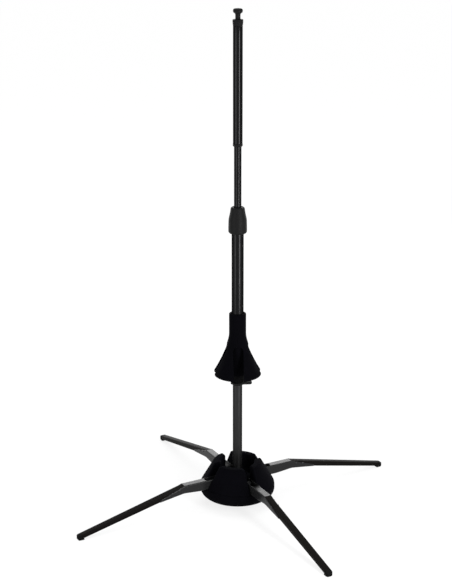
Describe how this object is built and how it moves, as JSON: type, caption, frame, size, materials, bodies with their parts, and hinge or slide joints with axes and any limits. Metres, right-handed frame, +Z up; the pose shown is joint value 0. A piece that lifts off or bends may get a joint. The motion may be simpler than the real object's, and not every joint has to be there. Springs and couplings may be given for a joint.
{
  "type": "brass instrument stand",
  "caption": "Tall folding floor stand for a trumpet or trombone: legs that fold up around a velvet hub, a telescoping pole and a slotted velvet bell cone.",
  "frame": {"origin": "on the floor under the pole axis", "axes": "+Z up along the pole; the legs lie along +X, -X, +Y and -Y"},
  "size_m": [0.6, 0.6, 0.8447],
  "materials": {
    "velvet": "black velvet flock on moulded plastic",
    "tube_paint": "gloss black powder coat on steel tube",
    "satin_paint": "satin black powder coat on the lowest tube",
    "sleeve_skin": "glossy black plastic sleeve",
    "moulded_plastic": "fine matte texture",
    "bracket_paint": "satin dark grey paint on folded sheet steel",
    "leg_paint": "satin black powder coat",
    "nylon": "black nylon",
    "bright_steel": "bright zinc",
    "dark_steel": "black oxide",
    "rubber": "matte black rubber"
  },
  "bodies": {
    "base": {"hub_top": "velvet", "hub_base": "velvet", "base_plate": "leg_paint", "base_screws": "dark_steel", "leg_spring": "dark_steel", "leg_pins": "dark_steel", "pivot_washers": "nylon", "lower_tube": "satin_paint", "tube_plug": "bright_steel", "tube_bolt": "dark_steel", "lower_tube_bush": "nylon"},
    "front_leg": {"front_leg_bracket": "bracket_paint", "front_leg_bar": "leg_paint", "front_leg_rivets": "dark_steel", "front_leg_bush": "nylon", "front_leg_foot": "rubber"},
    "right_leg": {"right_leg_bracket": "bracket_paint", "right_leg_bar": "leg_paint", "right_leg_rivets": "dark_steel", "right_leg_bush": "nylon", "right_leg_foot": "rubber"},
    "back_leg": {"back_leg_bracket": "bracket_paint", "back_leg_bar": "leg_paint", "back_leg_rivets": "dark_steel", "back_leg_bush": "nylon", "back_leg_foot": "rubber"},
    "left_leg": {"left_leg_bracket": "bracket_paint", "left_leg_bar": "leg_paint", "left_leg_rivets": "dark_steel", "left_leg_bush": "nylon", "left_leg_foot": "rubber"},
    "slide_guide": {"guide_bush": "nylon"},
    "middle_section": {"mid_tube": "tube_paint", "lock_housing": "moulded_plastic", "lever_pin": "bright_steel", "lock_spring": "bright_steel", "bell_cone": "velvet", "clutch_body": "moulded_plastic", "clutch_collet": "nylon", "mid_tube_bush": "nylon"},
    "release_lever": {"lock_lever": "moulded_plastic"},
    "clutch": {"clutch_knob": "moulded_plastic"},
    "upper_section": {"upper_tube": "tube_paint", "upper_tube_stop": "bright_steel", "sleeve": "sleeve_skin", "sleeve_ring": "moulded_plastic", "top_collar": "moulded_plastic", "top_knob": "moulded_plastic"}
  },
  "joints": [
    {"name": "front_leg_fold", "type": "hinge", "parent": "base", "child": "front_leg", "pos_m": [0, -0.036, 0.0465], "axis": [-1, 0, 0], "range_deg": [0, 90], "deforming": ["leg_spring"]},
    {"name": "right_leg_fold", "type": "hinge", "parent": "base", "child": "right_leg", "pos_m": [0.036, 0, 0.0465], "axis": [0, -1, 0], "range_deg": [0, 90], "deforming": ["leg_spring"]},
    {"name": "back_leg_fold", "type": "hinge", "parent": "base", "child": "back_leg", "pos_m": [0, 0.036, 0.0465], "axis": [1, 0, 0], "range_deg": [0, 90], "deforming": ["leg_spring"]},
    {"name": "left_leg_fold", "type": "hinge", "parent": "base", "child": "left_leg", "pos_m": [-0.036, 0, 0.0465], "axis": [0, 1, 0], "range_deg": [0, 90], "deforming": ["leg_spring"]},
    {"name": "height_slide", "type": "slide", "parent": "base", "child": "slide_guide", "axis": [0, 0, 1], "range_m": [-0.13, 0.06]},
    {"name": "section_swivel", "type": "hinge", "parent": "slide_guide", "child": "middle_section", "pos_m": [0, 0, 0.236], "axis": [0, 0, 1], "continuous": true},
    {"name": "lever_tilt", "type": "hinge", "parent": "middle_section", "child": "release_lever", "pos_m": [-0.00912, 0.00435, 0.2209], "axis": [-0.4305, -0.9026, 0], "range_deg": [0, 4], "stiffness_Nm_per_rad": 0.4, "springref_deg": -11.46, "deforming": ["lock_spring"]},
    {"name": "clutch_twist", "type": "hinge", "parent": "middle_section", "child": "clutch", "pos_m": [0, 0, 0.504], "axis": [0, 0, 1], "range_deg": [0, 90]},
    {"name": "upper_slide", "type": "slide", "parent": "middle_section", "child": "upper_section", "axis": [0, 0, 1], "range_m": [-0.095, 0.058]}
  ]
}
